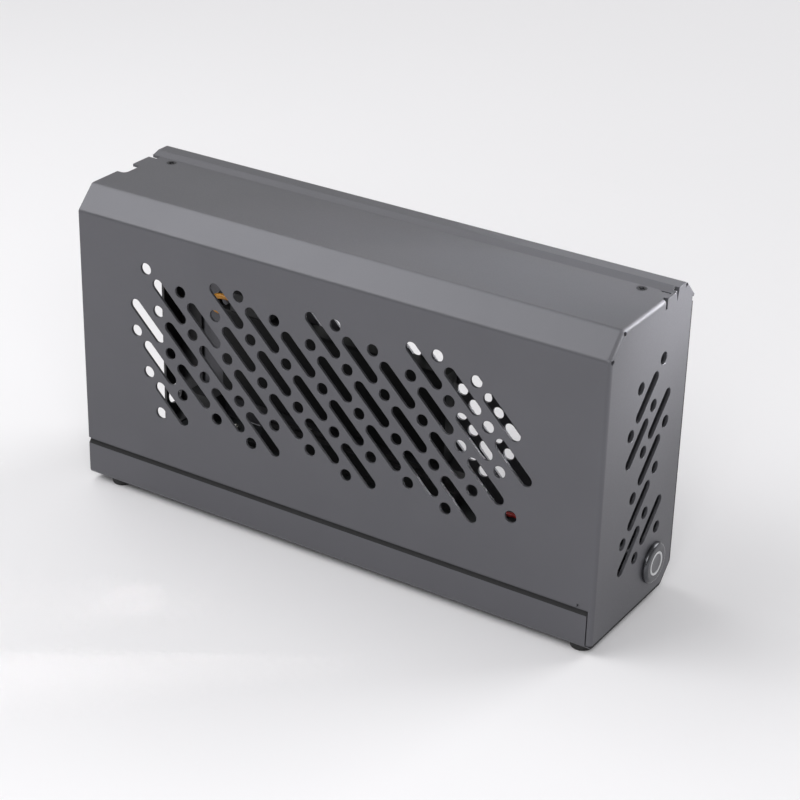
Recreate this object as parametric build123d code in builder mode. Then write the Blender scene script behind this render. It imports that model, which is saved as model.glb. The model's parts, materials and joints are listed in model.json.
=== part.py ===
from build123d import *
import math
import os

os.makedirs("parts", exist_ok=True)

# The case. X runs along it, the open end is at -X and the button at +X. The near panel faces -Y, and Z is up.
case_length = 240
case_depth = 65
case_height = 128
sheet = 1.2
fold = 2.0
tight_fold = 1.3
end_fold = 1.8
seam = 0.4
near_slope = 9
far_slope = 7.5

# The cover's edges. Insets along Y are measured from the far panel unless they are the near panel's.
cover_edge_z = 16.8
joggle_inset = 17.2
joggle_run = 3.8
corner_strip = 2.2
end_reach = 6
notch_width = 9.9
notch_depth = 4
notch_radius = 2
fold_slit_inset = 23.9
fold_slit_width = 1.3
top_slit_gap = 0.4
top_slit_length = 4
top_slit_width = 0.8
edge_notch_inset = 6.3
edge_notch_width = 1.2
edge_notch_height = 1.4
fold_slit_depth = 4.2
wedge_inset = 15.9
wedge_width = 2.6
wedge_depth = 4
relief_radius = 0.9
relief_inset = 1.8
lip_relief_radius = 0.75
lip_relief_drop = 1.3

# The chassis's lap behind the near panel and its flange under the cover's lip.
band_height = 15.8
lap_run = 1.6
lap_height = 6
flange_inset = 12.3

# The vent grid: dots and slanted slots that share one square lattice turned by 45 degrees.
vent_width = 5
vent_sides = 8
vent_pitch = 8
slot_span = 16
near_vent_inset = 27.94
near_vent_drop = 26.1
near_column_count = 33
near_dot_column_count = 31
near_row_count = 12
near_phase_count = 1
near_last_dot_count = (31, 10)
end_vent_inset = 20.38
end_vent_drop = 24.04
end_column_count = 6
end_row_count = 15
end_phase_count = 4
far_vent_inset = 52.63
far_vent_drop = 45.15
far_column_count = 25

# The push button in the right end.
button_inset = 17.5
button_z = 15.3
round_sides = 20
bezel_radius = 8.4
bezel_chamfer = 0.8
bezel_thickness = 2.05
barrel_radius = 7.4
barrel_length = 22
barrel_clearance = 0.1
ring_radius = 5.0
ring_depth = 4
ring_inner_radius = 3.95
cap_clearance = 0.05
cap_length = 11
cap_chamfer = 0.3
cap_sink = 0.15
button_travel = 1.5
travel_spare = 1.0
nut_flats = 18
nut_thickness = 2.5
terminal_length = 5
terminal_width = 2
terminal_thickness = 0.5
terminal_spread = 4

# Feet and the flat-head screws.
foot_height = 3
foot_radius = 5
foot_taper = 11
foot_sides = 12
foot_left_inset = 12.6
foot_right_inset = 6.8
foot_inset_y = 6.3
screw_radius = 1.25
screw_head_radius = 2.1
screw_head_taper = 32
screw_head_sides = 12
screw_length = 4
screw_sides = 8
screw_hole_clearance = 0.2
cover_screw_inset_x = 12
cover_screw_inset_y = 20.1
strap_length = 12
strap_margin = 3.9
strap_lap = 2.3
strap_thickness = 1.2

# The frame that a card's bracket is screwed to, at the open end.
frame_width = 12
ledge_drop = 7
ledge_margin = 9.3
frame_foot_inset = 10.5
bracket_pitch = 20.32
bracket_hole_radius = 1.45
stop_height = 7
stop_near_inset = 19.5
stop_far_inset = 13
end_flange_inset = 14
inlet_opening_radius = 4.6

# The dock board and what is soldered on it.
board_inset_x = 14
board_tail = 39.5
board_near_inset = 5.5
board_far_inset = 3.5
board_thickness = 1.6
standoff_height = 6.2
standoff_flats = 5.5
board_hole_inset_x = 22
board_hole_inset_y = 8.5
board_screw_head_radius = 2.6
board_screw_head = 1.8
board_screw_length = 5
card_inset = 14.9
slot_inset_x = 55.5
slot_length = 89
slot_width = 7.5
slot_height = 11.25
groove_width = 1.9
groove_depth = 8
groove_wall = 1.5
key_start = 13
key_width = 1.9
ear_length = 7
ear_thickness = 1.2
ear_height = 8
latch_pin_radius = 1.0
latch_pin_clearance = 0.05
latch_pin_x = 3.5
latch_pin_z = 4
latch_side_gap = 0.3
latch_hub_radius = 2.6
latch_front = 1.8
latch_back = 2.6
hook_reach = 5.5
hook_z = 8.2
hook_nose = 1.4
latch_top_z = 11.2
hook_slope = 2.5
thumb_reach = 8
thumb_thickness = 1.8
thumb_root_z = 8
port_inset_x = 10.5
port_near_inset = 11.5
port_width = 8.94
port_height = 3.26
port_wall = 0.3
port_sides = 12
port_length = 9
tongue_width = 6.7
tongue_thickness = 0.7
tongue_length = 5.5
inlet_inset_x = 11
inlet_length = 14
inlet_width = 8.4
inlet_height = 11
inlet_far_inset = 7.9
inlet_radius = 3.4
inlet_depth = 10.5
inlet_pin_radius = 1.0
inlet_pin_length = 9.5
chip_inset_x = 56
chip_offset_y = 27.6
chip_size = 14
chip_thickness = 1.2
sink_size = 24
sink_base = 2
fin_height = 6
fin_thickness = 1
fin_count = 7
coil_size = 9
coil_height = 5
coil_chamfer = 1
coil_pitch = 12
coil_inset_x = 36
coil_offset_y = 10.1
can_radius = 3.15
can_height = 8
can_sides = 12
can_pitch = 12
can_inset_x = 88
can_far_inset = 7.5
header_inset = 13
header_length = 6
header_width = 9
header_height = 5

# The power module on the far panel, and the lead that feeds the card.
module_inset_x = 29
module_length = 112
module_lift = 23
module_height = 41
module_depth = 10
module_chamfer = 1
plug_inset = 5
plug_length = 20
plug_width = 9.6
plug_height = 8.4
socket_size = 3.4
socket_pitch = 4.15
socket_depth = 8
wire_radius = 1.05
wire_sides = 4
lead_drop = 3.5
lead_reach = 6
lead_bend = 3

# The switch's two wires.
switch_wire_bend = 2.5

floor_z = foot_height
top_z = floor_z + case_height
lip_z = top_z + sheet
near_y = -case_depth / 2
far_y = case_depth / 2
left_x = -(case_length + bezel_thickness) / 2
right_x = left_x + case_length
miter = math.tan(math.radians(22.5))
inside_floor = floor_z + sheet
inside_far = far_y - sheet
slope_start_y = far_y - far_slope
lattice = vent_pitch / math.sqrt(2)
button_center_z = floor_z + button_z
button_y = far_y - button_inset
card_y = far_y - card_inset
joggle_foot_y = far_y - joggle_inset
flange_edge_y = far_y - flange_inset
fold_slit_y = far_y - fold_slit_inset
near_vent_x = left_x + near_vent_inset
near_vent_z = top_z - near_vent_drop
far_vent_x = left_x + far_vent_inset
far_vent_z = top_z - far_vent_drop
module_x = left_x + module_inset_x
module_z = floor_z + module_lift
module_top_z = module_z + module_height
module_end_x = module_x + module_length
plug_x = module_x + plug_inset
board_z = inside_floor + standoff_height
board_top = board_z + board_thickness
inlet_y = far_y - inlet_far_inset
inlet_z = board_top + inlet_height / 2


def vent_places(column_count, dot_column_count, row_count, lean, phase):
    """Grid places of the dots, the slots and the slots' ends. In each row a dot comes every eighth column,
    with a slot's middle halfway between two dots, and each row is three columns on from the one above."""
    dots = []
    slots = []
    ends = []
    for row in range(row_count):
        for column in range(column_count):
            step = (column - phase - 3 * lean * row) % 8
            if step == 0 and column < dot_column_count:
                dots.append((column, row))
            inside = 0 < column < column_count - 1 and 0 < row < row_count - 1
            if step == 4 and inside:
                slots.append((column, row))
                ends.append((column - lean, row - 1))
                ends.append((column + lean, row + 1))
    return dots, slots, ends


def lattice_points(places, start, direction, height):
    """Sketch points of grid places, with columns in the given direction and rows down from the height."""
    return [(start + direction * lattice * column, height - lattice * row) for column, row in places]


def vent_holes(holes, slots, angle):
    """Draws round holes at the hole places and joins the ends of each slot."""
    with Locations(*holes):
        RegularPolygon(vent_width / 2, vent_sides, major_radius=False, rotation=180 / vent_sides)
    with Locations(*slots):
        Rectangle(slot_span, vent_width, rotation=angle)


def behind_module(place):
    """Whether a round vent at this point of the far panel would be covered whole by the power module."""
    spare = vent_width / 2
    along = module_x + spare < place[0] < module_end_x - spare
    up = module_z + spare < place[1] < module_top_z - spare
    return along and up


def round_outline(radius, mode=Mode.ADD):
    """A round outline with enough flats to read as a circle."""
    RegularPolygon(radius, round_sides, mode=mode)


def button_plane(x):
    """Plane square to the button's axis, facing out of the right end."""
    return Plane(origin=(x, button_y, button_center_z), x_dir=(0, 1, 0), z_dir=(1, 0, 0))


# Cover: one sheet with the near panel, the top and its raised lip, and the right end folded down from it.
panel_inset = sheet + seam
panel_far_y = far_y - panel_inset
panel_bottom_z = floor_z + panel_inset
near_top = (near_y, top_z - near_slope)
top_near = (near_y + near_slope, top_z)
top_far = (joggle_foot_y, top_z)
lip_near = (joggle_foot_y + joggle_run, lip_z)
lip_far = (slope_start_y, lip_z)
bracket_rows = (card_y - bracket_pitch, card_y)
cover_screw_y = far_y - cover_screw_inset_y
cover_screw_places = [
    (left_x + cover_screw_inset_x, cover_screw_y),
    (right_x - cover_screw_inset_x, cover_screw_y),
]
near_dots, near_slots, near_ends = vent_places(
    near_column_count, near_dot_column_count, near_row_count, 1, near_phase_count
)
near_dots.append(near_last_dot_count)
end_dots, end_slots, end_ends = vent_places(
    end_column_count, end_column_count, end_row_count, -1, end_phase_count
)
end_vent_y = near_y + end_vent_inset
relief_run = relief_inset * math.cos(math.pi / 8)
relief_drop = relief_inset * math.sin(math.pi / 8)
end_vent_z = top_z - end_vent_drop
wedge_start_y = far_y - wedge_inset
end_outline = [
    (near_y, panel_bottom_z),
    near_top,
    top_near,
    (fold_slit_y, top_z),
    (fold_slit_y, panel_bottom_z),
]
with BuildPart() as end_corner:
    with BuildSketch(Plane.YZ.offset(right_x)):
        with BuildLine():
            FilletPolyline(*end_outline, radius=(0, fold, fold, 0, 0), close=True)
        make_face()
    extrude(amount=-end_reach)
    end_face = end_corner.faces().sort_by(Axis.X)[-1]
    free_edges = end_face.edges().sort_by(Axis.Z)[:1] + end_face.edges().sort_by(Axis.Y)[-1:]
    fillet(end_face.edges() - free_edges, end_fold)
    with BuildSketch(Plane.YZ.offset(right_x - sheet)):
        with BuildLine():
            FilletPolyline(
                (near_y + sheet, floor_z),
                (near_y + sheet, near_top[1] - sheet * miter),
                (top_near[0] + sheet * miter, top_z - sheet),
                (far_y, top_z - sheet),
                (far_y, floor_z),
                radius=(0, fold - sheet, fold - sheet, 0, 0),
                close=True,
            )
        make_face()
    extrude(amount=-end_reach, mode=Mode.SUBTRACT)
    with Locations((right_x - corner_strip, near_y, floor_z + cover_edge_z)):
        Box(
            end_reach,
            4 * sheet,
            case_height,
            align=(Align.MAX, Align.CENTER, Align.MAX),
            mode=Mode.SUBTRACT,
        )
with BuildPart() as cover:
    with BuildSketch(Plane.YZ.offset(left_x)):
        with BuildLine():
            FilletPolyline(
                (near_y, floor_z + cover_edge_z),
                near_top,
                top_near,
                top_far,
                lip_near,
                lip_far,
                (far_y, lip_z - far_slope),
                radius=fold,
            )
            offset(amount=sheet, side=Side.RIGHT)
        make_face()
    extrude(amount=case_length)
    with BuildSketch(Plane.YZ.offset(right_x)):
        with BuildLine():
            FilletPolyline(
                (near_y, panel_bottom_z),
                near_top,
                top_near,
                top_far,
                lip_near,
                lip_far,
                (panel_far_y, lip_z - panel_far_y + slope_start_y),
                (panel_far_y, floor_z + far_slope + panel_inset * miter),
                (slope_start_y - panel_inset * miter, panel_bottom_z),
                radius=(0, fold, fold, fold, fold, fold, 0, fold, fold),
                close=True,
            )
        make_face()
    extrude(amount=-sheet)
    with Locations((right_x, fold_slit_y, panel_bottom_z)):
        Box(
            2 * end_reach,
            2 * case_depth,
            2 * case_height,
            align=(Align.CENTER, Align.MAX, Align.CENTER),
            mode=Mode.SUBTRACT,
        )
    add(end_corner.part)
    with Locations((right_x, fold_slit_y, top_z)):
        Box(
            2 * end_fold,
            fold_slit_width,
            2 * fold_slit_depth,
            align=(Align.CENTER, Align.MIN, Align.CENTER),
            mode=Mode.SUBTRACT,
        )
    with Locations((right_x - sheet, joggle_foot_y - top_slit_gap, top_z)):
        Box(
            top_slit_length,
            top_slit_width,
            4 * sheet,
            align=(Align.MAX, Align.MAX, Align.CENTER),
            mode=Mode.SUBTRACT,
        )
    with Locations((right_x - edge_notch_inset, near_y, floor_z + cover_edge_z)):
        Box(edge_notch_width, 4 * sheet, 2 * edge_notch_height, mode=Mode.SUBTRACT)
    with BuildSketch(Plane.YZ.offset(right_x)):
        with BuildLine():
            Polyline(
                (wedge_start_y, lip_z + sheet),
                (wedge_start_y + wedge_width, lip_z + sheet),
                (wedge_start_y + wedge_width / 2, top_z - wedge_depth),
                close=True,
            )
        make_face()
        with Locations(
            (near_top[0] + relief_run, near_top[1] - relief_drop),
            (top_near[0] + relief_drop, top_near[1] - relief_run),
        ):
            RegularPolygon(relief_radius, vent_sides)
        with Locations((lip_far[0], lip_z - lip_relief_drop)):
            RegularPolygon(lip_relief_radius, vent_sides)
        with Locations((button_y, button_center_z)):
            round_outline(barrel_radius + barrel_clearance)
        vent_holes(
            lattice_points(end_dots + end_ends, end_vent_y, 1, end_vent_z),
            lattice_points(end_slots, end_vent_y, 1, end_vent_z),
            45,
        )
    extrude(amount=-1.5 * sheet, mode=Mode.SUBTRACT)
    with BuildSketch(Plane.XZ.offset(-near_y)):
        vent_holes(
            lattice_points(near_dots + near_ends, near_vent_x, 1, near_vent_z),
            lattice_points(near_slots, near_vent_x, 1, near_vent_z),
            -45,
        )
    extrude(amount=-1.5 * sheet, mode=Mode.SUBTRACT)
    with BuildSketch(Plane.XY.offset(top_z)):
        with Locations((left_x, bracket_rows[0])):
            RectangleRounded(2 * notch_depth, notch_width, notch_radius)
        with Locations((left_x, bracket_rows[1] - notch_width / 2)):
            Rectangle(
                2 * notch_depth,
                joggle_foot_y - bracket_rows[1] + notch_width / 2,
                align=(Align.CENTER, Align.MIN),
            )
    extrude(amount=-1.5 * sheet, mode=Mode.SUBTRACT)
    with BuildSketch(Plane.XY.offset(top_z)):
        with Locations(*cover_screw_places):
            RegularPolygon(screw_head_radius, screw_head_sides)
    extrude(amount=-sheet, taper=screw_head_taper, mode=Mode.SUBTRACT)
cover.part.label = "cover"
export_step(cover.part, "parts/cover.step")

# Chassis: one sheet with the lap behind the near panel, the bottom, the far panel and the flange.
lap_y = near_y + sheet
lap_foot_z = floor_z + band_height
far_top_z = lip_z - far_slope - sheet * math.sqrt(2)
far_grid = vent_places(far_column_count, far_column_count, near_row_count, 1, near_phase_count)
far_dots, far_slots, far_ends = [lattice_points(places, far_vent_x, 1, far_vent_z) for places in far_grid]
open_holes = [dot for dot in far_dots if not behind_module(dot)]
open_slots = []
for slot, first_end, last_end in zip(far_slots, far_ends[::2], far_ends[1::2]):
    if not (behind_module(first_end) and behind_module(last_end)):
        open_slots.append(slot)
        open_holes += [first_end, last_end]
with BuildPart() as chassis:
    with BuildSketch(Plane.YZ.offset(left_x)):
        with BuildLine():
            FilletPolyline(
                (lap_y, lap_foot_z + lap_height),
                (lap_y, lap_foot_z),
                (near_y, lap_foot_z - lap_run),
                (near_y, floor_z),
                (slope_start_y, floor_z),
                (far_y, floor_z + far_slope),
                (far_y, far_top_z),
                (far_y - top_z + far_top_z, top_z),
                (flange_edge_y, top_z),
                radius=(tight_fold, tight_fold, fold, fold, fold, fold, fold),
            )
            offset(amount=sheet, side=Side.LEFT)
        make_face()
    extrude(amount=case_length - seam)
    with Locations((right_x, near_y, inside_floor)):
        Box(
            2 * (corner_strip + seam),
            2 * (2 * sheet + seam),
            2 * band_height,
            align=(Align.CENTER, Align.CENTER, Align.MIN),
            mode=Mode.SUBTRACT,
        )
    with Locations((right_x, far_y, far_top_z - sheet)):
        Box(
            2 * panel_inset,
            2 * (far_y - flange_edge_y + sheet),
            case_height,
            align=(Align.CENTER, Align.CENTER, Align.MIN),
            mode=Mode.SUBTRACT,
        )
    with BuildSketch(Plane.XZ.offset(-far_y)):
        vent_holes(open_holes, open_slots, -45)
    extrude(amount=1.5 * sheet, mode=Mode.SUBTRACT)
chassis.part.label = "chassis"
export_step(chassis.part, "parts/chassis.step")

# Frame for card brackets: a strip on the bottom, up the far panel and back as a tapped ledge, with an end
# flange that closes the end beside the brackets and lets the power plug through.
frame_far_top = lip_z - far_slope - sheet * math.sqrt(2) - sheet * miter
ledge_top_z = top_z - ledge_drop
ledge_end_y = bracket_rows[0] - ledge_margin
bracket_hole_x = left_x + frame_width / 2
end_flange_y = far_y - end_flange_inset
frame_corners = [
    (slope_start_y - sheet * miter, inside_floor),
    (inside_far, floor_z + far_slope + sheet * miter),
    (inside_far, frame_far_top),
    (inside_far - ledge_top_z + frame_far_top, ledge_top_z),
]
with BuildPart() as bracket_frame:
    with BuildSketch(Plane.YZ.offset(left_x)):
        with BuildLine():
            FilletPolyline(
                (near_y + frame_foot_inset, inside_floor),
                *frame_corners,
                (ledge_end_y, ledge_top_z),
                radius=tight_fold,
            )
            offset(amount=sheet, side=Side.LEFT)
        make_face()
    extrude(amount=frame_width)
    with BuildSketch(Plane.YZ.offset(left_x)):
        with BuildLine():
            FilletPolyline(
                (end_flange_y, inside_floor),
                *frame_corners,
                (end_flange_y, ledge_top_z),
                radius=(0, tight_fold, tight_fold, tight_fold, tight_fold, 0),
                close=True,
            )
        make_face()
        with Locations((inlet_y, inlet_z)):
            round_outline(inlet_opening_radius, Mode.SUBTRACT)
    extrude(amount=sheet)
    with Locations((left_x + frame_width, near_y + stop_near_inset, inside_floor)):
        Box(
            sheet,
            case_depth - stop_near_inset - stop_far_inset,
            stop_height,
            align=(Align.MAX, Align.MIN, Align.MIN),
        )
    with Locations(*[Location((bracket_hole_x, y, ledge_top_z)) for y in bracket_rows]):
        Hole(bracket_hole_radius, depth=2 * sheet)
bracket_frame.part.label = "bracket_frame"
export_step(bracket_frame.part, "parts/bracket_frame.step")

# Straps welded under the chassis's flange: the cover's screws bite into them through the top panel.
strap_z = top_z - sheet
with BuildPart() as cover_straps:
    with Locations(*[(x, y - strap_margin, strap_z) for x, y in cover_screw_places]):
        Box(
            strap_length,
            flange_edge_y + strap_lap - cover_screw_y + strap_margin,
            strap_thickness,
            align=(Align.CENTER, Align.MIN, Align.MAX),
        )
    with BuildSketch(Plane.XY.offset(strap_z)):
        with Locations(*cover_screw_places):
            RegularPolygon(screw_radius, screw_sides)
    extrude(amount=-strap_thickness, mode=Mode.SUBTRACT)
cover_straps.part.label = "cover_straps"
export_step(cover_straps.part, "parts/cover_straps.step")

# Screws of the cover, flush with the top panel.
with BuildPart() as cover_screws:
    with BuildSketch(Plane.XY.offset(top_z)):
        with Locations(*cover_screw_places):
            RegularPolygon(screw_head_radius, screw_head_sides)
    extrude(amount=-sheet, taper=screw_head_taper)
    with BuildSketch(Plane.XY.offset(top_z - sheet)):
        with Locations(*cover_screw_places):
            RegularPolygon(screw_radius, screw_sides)
    extrude(amount=-screw_length)
cover_screws.part.label = "cover_screws"
export_step(cover_screws.part, "parts/cover_screws.step")

# Rubber feet, bonded under the flat of the bottom.
foot_places = [
    (x, y)
    for x in (left_x + foot_left_inset, right_x - foot_right_inset)
    for y in (near_y + foot_inset_y, slope_start_y - foot_inset_y)
]
with BuildPart() as feet:
    with BuildSketch(Plane.XY.offset(foot_height)):
        with Locations(*foot_places):
            RegularPolygon(foot_radius, foot_sides)
    extrude(amount=-foot_height, taper=foot_taper)
feet.part.label = "feet"
export_step(feet.part, "parts/feet.step")

# Dock board on standoffs that are pressed into the bottom.
board_x = left_x + board_inset_x
board_start_y = near_y + board_near_inset
board_depth = case_depth - board_near_inset - board_far_inset
slot_x = left_x + slot_inset_x
slot_end_x = slot_x + slot_length
board_length = slot_end_x + board_tail - board_x
board_middle = (board_x + board_length / 2, board_start_y + board_depth / 2)
hole_span_x = board_length - 2 * board_hole_inset_x
hole_span_y = board_depth - 2 * board_hole_inset_y
with BuildPart() as dock_board:
    with Locations((board_x, board_start_y, board_z)):
        Box(board_length, board_depth, board_thickness, align=Align.MIN)
    with BuildSketch(Plane.XY.offset(board_top)):
        with Locations(board_middle):
            with GridLocations(hole_span_x, hole_span_y, 2, 2):
                RegularPolygon(screw_radius + screw_hole_clearance, screw_sides)
    extrude(amount=-board_thickness, mode=Mode.SUBTRACT)
dock_board.part.label = "dock_board"
export_step(dock_board.part, "parts/dock_board.step")

with BuildPart() as board_standoffs:
    with BuildSketch(Plane.XY.offset(inside_floor)):
        with Locations(board_middle):
            with GridLocations(hole_span_x, hole_span_y, 2, 2):
                RegularPolygon(standoff_flats / 2, 6, major_radius=False)
                RegularPolygon(screw_radius, screw_sides, mode=Mode.SUBTRACT)
    extrude(amount=standoff_height)
board_standoffs.part.label = "board_standoffs"
export_step(board_standoffs.part, "parts/board_standoffs.step")

with BuildPart() as board_screws:
    with BuildSketch(Plane.XY.offset(board_top)):
        with Locations(board_middle):
            with GridLocations(hole_span_x, hole_span_y, 2, 2):
                RegularPolygon(board_screw_head_radius, 6)
    extrude(amount=board_screw_head)
    with BuildSketch(Plane.XY.offset(board_top)):
        with Locations(board_middle):
            with GridLocations(hole_span_x, hole_span_y, 2, 2):
                RegularPolygon(screw_radius, screw_sides)
    extrude(amount=-board_screw_length)
board_screws.part.label = "board_screws"
export_step(board_screws.part, "parts/board_screws.step")

# Card slot with a key in its groove, and two ears at its far end for the latch's pin.
latch_x = slot_end_x + latch_pin_x
latch_z = board_top + latch_pin_z
latch_plane = Plane(origin=(latch_x, card_y, latch_z), x_dir=(1, 0, 0), z_dir=(0, -1, 0))
with BuildPart() as card_slot:
    with Locations((slot_x, card_y, board_top)):
        Box(slot_length, slot_width, slot_height, align=(Align.MIN, Align.CENTER, Align.MIN))
    with Locations((slot_end_x, card_y, board_top)):
        Box(ear_length, slot_width, ear_height, align=(Align.MIN, Align.CENTER, Align.MIN))
        Box(
            ear_length,
            slot_width - 2 * ear_thickness,
            ear_height,
            align=(Align.MIN, Align.CENTER, Align.MIN),
            mode=Mode.SUBTRACT,
        )
    with BuildSketch(Plane.XY.offset(board_top + slot_height)):
        with Locations((slot_x + groove_wall, card_y)):
            Rectangle(slot_length - 2 * groove_wall, groove_width, align=(Align.MIN, Align.CENTER))
        with Locations((slot_x + key_start, card_y)):
            Rectangle(key_width, groove_width, align=(Align.MIN, Align.CENTER), mode=Mode.SUBTRACT)
    extrude(amount=-groove_depth, mode=Mode.SUBTRACT)
    with Locations(latch_plane):
        Cylinder(latch_pin_radius + latch_pin_clearance, slot_width, mode=Mode.SUBTRACT)
card_slot.part.label = "card_slot"
export_step(card_slot.part, "parts/card_slot.step")

# Card latch: a lever that turns on a pin between the slot's ears, with a hook and a thumb tab.
latch_width = slot_width - 2 * ear_thickness - 2 * latch_side_gap
with BuildPart() as slot_latch:
    with BuildSketch(latch_plane):
        with BuildLine():
            Polyline(
                (-latch_front, 0),
                (-latch_front, hook_z),
                (-hook_reach, hook_z),
                (-hook_reach, hook_z + hook_nose),
                (-hook_reach + hook_slope, latch_top_z),
                (thumb_reach, latch_top_z),
                (thumb_reach, latch_top_z - thumb_thickness),
                (latch_back, thumb_root_z),
                (latch_back, 0),
                close=True,
            )
        make_face()
        RegularPolygon(latch_hub_radius, screw_sides)
    extrude(amount=latch_width / 2, both=True)
    with Locations(latch_plane):
        Cylinder(latch_pin_radius, slot_width)
slot_latch.part.label = "slot_latch"
export_step(slot_latch.part, "parts/slot_latch.step")

# Data port: a rounded metal shell with a tongue in it, at the board's left edge.
port_y = near_y + port_near_inset
port_z = board_top + port_height / 2
port_plane = Plane(origin=(left_x + port_inset_x, port_y, port_z), x_dir=(0, 1, 0), z_dir=(1, 0, 0))


def port_outline(wall):
    """The port's oblong outline, this far inside its shell's outer face."""
    height = port_height - 2 * wall
    with GridLocations(port_width - port_height, height, 2, 1):
        RegularPolygon(height / 2, port_sides, major_radius=False, rotation=180 / port_sides)
    Rectangle(port_width - port_height, height)


with BuildPart() as data_port_shell:
    with BuildSketch(port_plane):
        port_outline(0)
    extrude(amount=port_length)
    with BuildSketch(port_plane):
        port_outline(port_wall)
    extrude(amount=port_length - port_wall, mode=Mode.SUBTRACT)
data_port_shell.part.label = "data_port_shell"
export_step(data_port_shell.part, "parts/data_port_shell.step")

with BuildPart() as data_port_tongue:
    with Locations((left_x + port_inset_x + port_length - port_wall, port_y, port_z)):
        Box(tongue_length, tongue_width, tongue_thickness, align=(Align.MAX, Align.CENTER, Align.CENTER))
data_port_tongue.part.label = "data_port_tongue"
export_step(data_port_tongue.part, "parts/data_port_tongue.step")

# Direct current inlet: a moulded body with a bore, and the pin in the middle of it.
inlet_x = left_x + inlet_inset_x
inlet_plane = Plane(origin=(inlet_x, inlet_y, inlet_z), x_dir=(0, 1, 0), z_dir=(1, 0, 0))
with BuildPart() as power_inlet:
    with Locations((inlet_x, inlet_y, board_top)):
        Box(inlet_length, inlet_width, inlet_height, align=(Align.MIN, Align.CENTER, Align.MIN))
    with BuildSketch(inlet_plane):
        round_outline(inlet_radius)
    extrude(amount=inlet_depth, mode=Mode.SUBTRACT)
power_inlet.part.label = "power_inlet"
export_step(power_inlet.part, "parts/power_inlet.step")

with BuildPart() as power_inlet_pin:
    with BuildSketch(inlet_plane.offset(inlet_depth)):
        RegularPolygon(inlet_pin_radius, screw_sides)
    extrude(amount=-inlet_pin_length)
power_inlet_pin.part.label = "power_inlet_pin"
export_step(power_inlet_pin.part, "parts/power_inlet_pin.step")

# Interface chip under a finned heatsink.
chip_place = (left_x + chip_inset_x, card_y - chip_offset_y)
with BuildPart() as interface_chip:
    with Locations((*chip_place, board_top)):
        Box(chip_size, chip_size, chip_thickness, align=(Align.CENTER, Align.CENTER, Align.MIN))
interface_chip.part.label = "interface_chip"
export_step(interface_chip.part, "parts/interface_chip.step")

with BuildPart() as chip_heatsink:
    with Locations((*chip_place, board_top + chip_thickness)):
        Box(sink_size, sink_size, sink_base, align=(Align.CENTER, Align.CENTER, Align.MIN))
        with GridLocations(sink_size, (sink_size - fin_thickness) / (fin_count - 1), 1, fin_count):
            Box(
                sink_size,
                fin_thickness,
                sink_base + fin_height,
                align=(Align.CENTER, Align.CENTER, Align.MIN),
            )
chip_heatsink.part.label = "chip_heatsink"
export_step(chip_heatsink.part, "parts/chip_heatsink.step")

# Regulator coils and capacitors.
with BuildPart() as inductors:
    with Locations((left_x + coil_inset_x, card_y - coil_offset_y, board_top)):
        with GridLocations(coil_pitch, coil_pitch, 2, 1):
            Box(coil_size, coil_size, coil_height, align=(Align.CENTER, Align.CENTER, Align.MIN))
    chamfer(inductors.edges().filter_by(Axis.Z), coil_chamfer)
inductors.part.label = "inductors"
export_step(inductors.part, "parts/inductors.step")

with BuildPart() as capacitors:
    with BuildSketch(Plane.XY.offset(board_top)):
        with Locations((left_x + can_inset_x, far_y - can_far_inset)):
            with GridLocations(can_pitch, can_pitch, 4, 1):
                RegularPolygon(can_radius, can_sides)
    extrude(amount=can_height)
capacitors.part.label = "capacitors"
export_step(capacitors.part, "parts/capacitors.step")

# Header that the switch's wires go into.
header_x = board_x + board_length - header_inset
with BuildPart() as switch_header:
    with Locations((header_x, button_y, board_top)):
        Box(header_length, header_width, header_height, align=(Align.CENTER, Align.CENTER, Align.MIN))
switch_header.part.label = "switch_header"
export_step(switch_header.part, "parts/switch_header.step")

# Power module, bonded flat against the far panel.
with BuildPart() as power_module:
    with Locations((module_x, inside_far, module_z)):
        Box(module_length, module_depth, module_height, align=(Align.MIN, Align.MAX, Align.MIN))
    chamfer(power_module.faces().sort_by(Axis.Y)[0].edges(), module_chamfer)
power_module.part.label = "power_module"
export_step(power_module.part, "parts/power_module.step")

# Plug of the card's power lead, parked on the module, with its sockets facing the button.
plug_z = module_top_z
plug_y = inside_far - plug_width / 2
socket_z = plug_z + plug_height / 2
with BuildPart() as lead_plug:
    with Locations((plug_x, plug_y, plug_z)):
        Box(plug_length, plug_width, plug_height, align=(Align.MIN, Align.CENTER, Align.MIN))
    with Locations((plug_x + plug_length, plug_y, socket_z)):
        for y in (-socket_pitch / 2, socket_pitch / 2):
            with Locations((0, y, 0)):
                Box(2 * socket_depth, socket_size, socket_size, mode=Mode.SUBTRACT)
lead_plug.part.label = "lead_plug"
export_step(lead_plug.part, "parts/lead_plug.step")


def lead_wire(y):
    """One wire in an upright plane, from the module's end round to the plug parked above it."""
    low = plug_z - lead_drop
    loop_x = module_x - lead_reach
    with BuildLine() as route:
        FilletPolyline(
            (module_x, y, low),
            (loop_x, y, low),
            (loop_x, y, socket_z),
            (plug_x, y, socket_z),
            radius=lead_bend,
        )
    with BuildSketch(Plane(origin=route.line @ 0, x_dir=(0, 1, 0), z_dir=route.line % 0)) as section:
        RegularPolygon(wire_radius, wire_sides, rotation=180 / wire_sides)
    sweep(section.sketch, path=route.line)


with BuildPart() as lead_wire_yellow:
    lead_wire(plug_y - socket_pitch / 2)
lead_wire_yellow.part.label = "lead_wire_yellow"
export_step(lead_wire_yellow.part, "parts/lead_wire_yellow.step")

with BuildPart() as lead_wire_black:
    lead_wire(plug_y + socket_pitch / 2)
lead_wire_black.part.label = "lead_wire_black"
export_step(lead_wire_black.part, "parts/lead_wire_black.step")

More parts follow.
